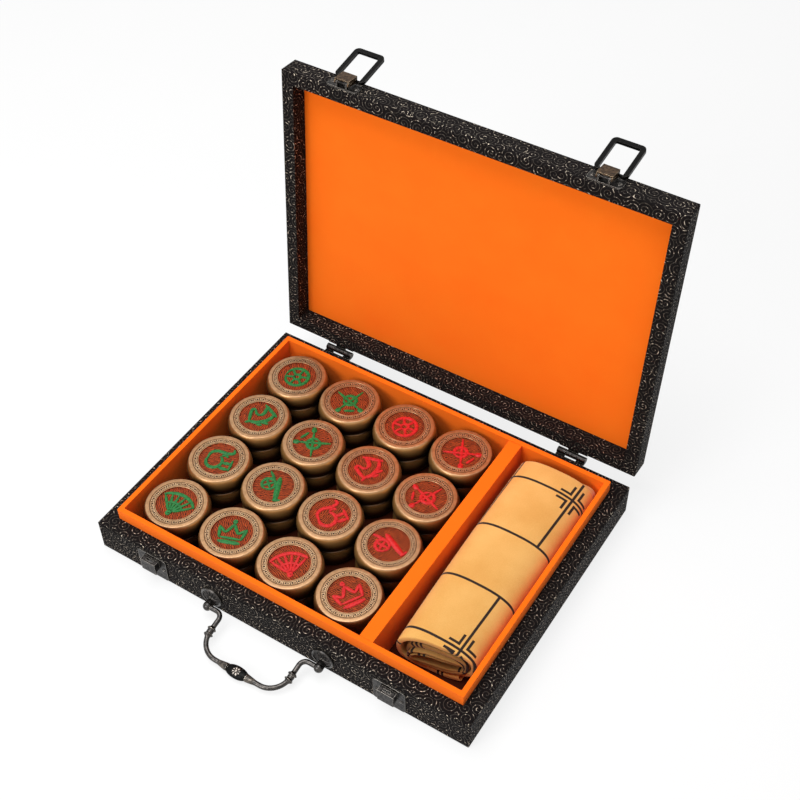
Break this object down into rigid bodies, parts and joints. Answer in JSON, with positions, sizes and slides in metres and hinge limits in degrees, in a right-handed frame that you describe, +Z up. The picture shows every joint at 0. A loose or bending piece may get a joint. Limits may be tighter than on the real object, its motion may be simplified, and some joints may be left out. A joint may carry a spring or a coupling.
{
  "type": "boxed board game set",
  "caption": "Hinged fabric-wrapped case with draw latches and a drop handle, holding stacked drum-shaped board-game pieces and a rolled soft board in lined trays.",
  "frame": {"origin": "middle of the case's underside", "axes": "+Z up, +X along the hinges to the right seen from the front, +Y to the hinges"},
  "size_m": [0.252, 0.272, 0.2209],
  "materials": {
    "brocade": "black brocade with fine silver-gold scrolls, wrapped over board",
    "lining": "matt orange suede paper",
    "bronze": "antique bronze, bright at worn edges",
    "lever_bronze": "worn antique brass",
    "green_piece": "antique brass, red-brown medallion, green mark",
    "red_piece": "antique brass, red-brown medallion, red mark",
    "board_suede": "tan suede printed with dark grid lines"
  },
  "bodies": {
    "case": {"base_frame": "brocade", "base_bottom": "brocade", "tray_floor": "lining", "tray_frame": "lining", "divider": "lining", "hinge_pins": "bronze", "base_screws": "bronze", "hinge_leaf_base_left": "bronze", "hinge_leaf_base_right": "bronze", "catch_left": "bronze", "catch_right": "bronze", "handle_mount_left": "bronze", "handle_mount_right": "bronze"},
    "lid": {"lid_frame": "brocade", "lid_top": "brocade", "lid_lining": "lining", "latch_pins": "bronze", "lid_screws": "bronze", "hinge_leaf_lid_left": "bronze", "hinge_leaf_lid_right": "bronze", "latch_plate_left": "bronze", "latch_plate_right": "bronze"},
    "handle": {"handle_bail": "bronze"},
    "board": {"board_roll": "board_suede"},
    "lever_left": {"latch_lever_left": "lever_bronze"},
    "loop_left": {"latch_loop_left": "bronze"},
    "lever_right": {"latch_lever_right": "lever_bronze"},
    "loop_right": {"latch_loop_right": "bronze"},
    "green_advisor_2": {"green_advisor_2": "green_piece"},
    "green_advisor_1": {"green_advisor_1": "green_piece"},
    "green_elephant_2": {"green_elephant_2": "green_piece"},
    "green_elephant_1": {"green_elephant_1": "green_piece"},
    "green_horse_2": {"green_horse_2": "green_piece"},
    "green_horse_1": {"green_horse_1": "green_piece"},
    "green_chariot_2": {"green_chariot_2": "green_piece"},
    "green_chariot_1": {"green_chariot_1": "green_piece"},
    "green_cannon_2": {"green_cannon_2": "green_piece"},
    "green_general": {"green_general": "green_piece"},
    "green_soldier_3": {"green_soldier_3": "green_piece"},
    "green_cannon_1": {"green_cannon_1": "green_piece"},
    "green_soldier_4": {"green_soldier_4": "green_piece"},
    "green_soldier_1": {"green_soldier_1": "green_piece"},
    "green_soldier_5": {"green_soldier_5": "green_piece"},
    "green_soldier_2": {"green_soldier_2": "green_piece"},
    "red_advisor_2": {"red_advisor_2": "red_piece"},
    "red_advisor_1": {"red_advisor_1": "red_piece"},
    "red_elephant_2": {"red_elephant_2": "red_piece"},
    "red_elephant_1": {"red_elephant_1": "red_piece"},
    "red_horse_2": {"red_horse_2": "red_piece"},
    "red_horse_1": {"red_horse_1": "red_piece"},
    "red_chariot_2": {"red_chariot_2": "red_piece"},
    "red_chariot_1": {"red_chariot_1": "red_piece"},
    "red_cannon_2": {"red_cannon_2": "red_piece"},
    "red_general": {"red_general": "red_piece"},
    "red_soldier_3": {"red_soldier_3": "red_piece"},
    "red_cannon_1": {"red_cannon_1": "red_piece"},
    "red_soldier_4": {"red_soldier_4": "red_piece"},
    "red_soldier_1": {"red_soldier_1": "red_piece"},
    "red_soldier_5": {"red_soldier_5": "red_piece"},
    "red_soldier_2": {"red_soldier_2": "red_piece"}
  },
  "joints": [
    {"name": "lid_hinge", "type": "hinge", "parent": "case", "child": "lid", "pos_m": [0, 0.0978, 0.0227], "axis": [-1, 0, 0], "range_deg": [-94.5, 0]},
    {"name": "handle_swing", "type": "hinge", "parent": "case", "child": "handle", "pos_m": [-0.004, -0.0994, 0.0081], "axis": [-1, 0, 0], "range_deg": [0, 101.2]},
    {"name": "board_lift", "type": "slide", "parent": "case", "child": "board", "axis": [0, 0, 1], "range_m": [0, 0.06]},
    {"name": "lever_left_turn", "type": "hinge", "parent": "lid", "child": "lever_left", "pos_m": [-0.085, 0.11522, 0.21733], "axis": [1, 0, 0], "range_deg": [0, 100]},
    {"name": "loop_left_turn", "type": "hinge", "parent": "lever_left", "child": "loop_left", "pos_m": [-0.085, 0.12215, 0.21609], "axis": [-1, 0, 0], "range_deg": [-166, 0]},
    {"name": "lever_right_turn", "type": "hinge", "parent": "lid", "child": "lever_right", "pos_m": [0.077, 0.11522, 0.21733], "axis": [1, 0, 0], "range_deg": [0, 100]},
    {"name": "loop_right_turn", "type": "hinge", "parent": "lever_right", "child": "loop_right", "pos_m": [0.077, 0.12215, 0.21609], "axis": [-1, 0, 0], "range_deg": [-166, 0]},
    {"name": "green_advisor_2_lift", "type": "slide", "parent": "case", "child": "green_advisor_2", "axis": [0, 0, 1], "range_m": [0, 0.03]},
    {"name": "green_advisor_1_lift", "type": "slide", "parent": "green_advisor_2", "child": "green_advisor_1", "axis": [0, 0, 1], "range_m": [0, 0.03]},
    {"name": "green_elephant_2_lift", "type": "slide", "parent": "case", "child": "green_elephant_2", "axis": [0, 0, 1], "range_m": [0, 0.03]},
    {"name": "green_elephant_1_lift", "type": "slide", "parent": "green_elephant_2", "child": "green_elephant_1", "axis": [0, 0, 1], "range_m": [0, 0.03]},
    {"name": "green_horse_2_lift", "type": "slide", "parent": "case", "child": "green_horse_2", "axis": [0, 0, 1], "range_m": [0, 0.03]},
    {"name": "green_horse_1_lift", "type": "slide", "parent": "green_horse_2", "child": "green_horse_1", "axis": [0, 0, 1], "range_m": [0, 0.03]},
    {"name": "green_chariot_2_lift", "type": "slide", "parent": "case", "child": "green_chariot_2", "axis": [0, 0, 1], "range_m": [0, 0.03]},
    {"name": "green_chariot_1_lift", "type": "slide", "parent": "green_chariot_2", "child": "green_chariot_1", "axis": [0, 0, 1], "range_m": [0, 0.03]},
    {"name": "green_cannon_2_lift", "type": "slide", "parent": "case", "child": "green_cannon_2", "axis": [0, 0, 1], "range_m": [0, 0.03]},
    {"name": "green_general_lift", "type": "slide", "parent": "green_cannon_2", "child": "green_general", "axis": [0, 0, 1], "range_m": [0, 0.03]},
    {"name": "green_soldier_3_lift", "type": "slide", "parent": "case", "child": "green_soldier_3", "axis": [0, 0, 1], "range_m": [0, 0.03]},
    {"name": "green_cannon_1_lift", "type": "slide", "parent": "green_soldier_3", "child": "green_cannon_1", "axis": [0, 0, 1], "range_m": [0, 0.03]},
    {"name": "green_soldier_4_lift", "type": "slide", "parent": "case", "child": "green_soldier_4", "axis": [0, 0, 1], "range_m": [0, 0.03]},
    {"name": "green_soldier_1_lift", "type": "slide", "parent": "green_soldier_4", "child": "green_soldier_1", "axis": [0, 0, 1], "range_m": [0, 0.03]},
    {"name": "green_soldier_5_lift", "type": "slide", "parent": "case", "child": "green_soldier_5", "axis": [0, 0, 1], "range_m": [0, 0.03]},
    {"name": "green_soldier_2_lift", "type": "slide", "parent": "green_soldier_5", "child": "green_soldier_2", "axis": [0, 0, 1], "range_m": [0, 0.03]},
    {"name": "red_advisor_2_lift", "type": "slide", "parent": "case", "child": "red_advisor_2", "axis": [0, 0, 1], "range_m": [0, 0.03]},
    {"name": "red_advisor_1_lift", "type": "slide", "parent": "red_advisor_2", "child": "red_advisor_1", "axis": [0, 0, 1], "range_m": [0, 0.03]},
    {"name": "red_elephant_2_lift", "type": "slide", "parent": "case", "child": "red_elephant_2", "axis": [0, 0, 1], "range_m": [0, 0.03]},
    {"name": "red_elephant_1_lift", "type": "slide", "parent": "red_elephant_2", "child": "red_elephant_1", "axis": [0, 0, 1], "range_m": [0, 0.03]},
    {"name": "red_horse_2_lift", "type": "slide", "parent": "case", "child": "red_horse_2", "axis": [0, 0, 1], "range_m": [0, 0.03]},
    {"name": "red_horse_1_lift", "type": "slide", "parent": "red_horse_2", "child": "red_horse_1", "axis": [0, 0, 1], "range_m": [0, 0.03]},
    {"name": "red_chariot_2_lift", "type": "slide", "parent": "case", "child": "red_chariot_2", "axis": [0, 0, 1], "range_m": [0, 0.03]},
    {"name": "red_chariot_1_lift", "type": "slide", "parent": "red_chariot_2", "child": "red_chariot_1", "axis": [0, 0, 1], "range_m": [0, 0.03]},
    {"name": "red_cannon_2_lift", "type": "slide", "parent": "case", "child": "red_cannon_2", "axis": [0, 0, 1], "range_m": [0, 0.03]},
    {"name": "red_general_lift", "type": "slide", "parent": "red_cannon_2", "child": "red_general", "axis": [0, 0, 1], "range_m": [0, 0.03]},
    {"name": "red_soldier_3_lift", "type": "slide", "parent": "case", "child": "red_soldier_3", "axis": [0, 0, 1], "range_m": [0, 0.03]},
    {"name": "red_cannon_1_lift", "type": "slide", "parent": "red_soldier_3", "child": "red_cannon_1", "axis": [0, 0, 1], "range_m": [0, 0.03]},
    {"name": "red_soldier_4_lift", "type": "slide", "parent": "case", "child": "red_soldier_4", "axis": [0, 0, 1], "range_m": [0, 0.03]},
    {"name": "red_soldier_1_lift", "type": "slide", "parent": "red_soldier_4", "child": "red_soldier_1", "axis": [0, 0, 1], "range_m": [0, 0.03]},
    {"name": "red_soldier_5_lift", "type": "slide", "parent": "case", "child": "red_soldier_5", "axis": [0, 0, 1], "range_m": [0, 0.03]},
    {"name": "red_soldier_2_lift", "type": "slide", "parent": "red_soldier_5", "child": "red_soldier_2", "axis": [0, 0, 1], "range_m": [0, 0.03]}
  ]
}
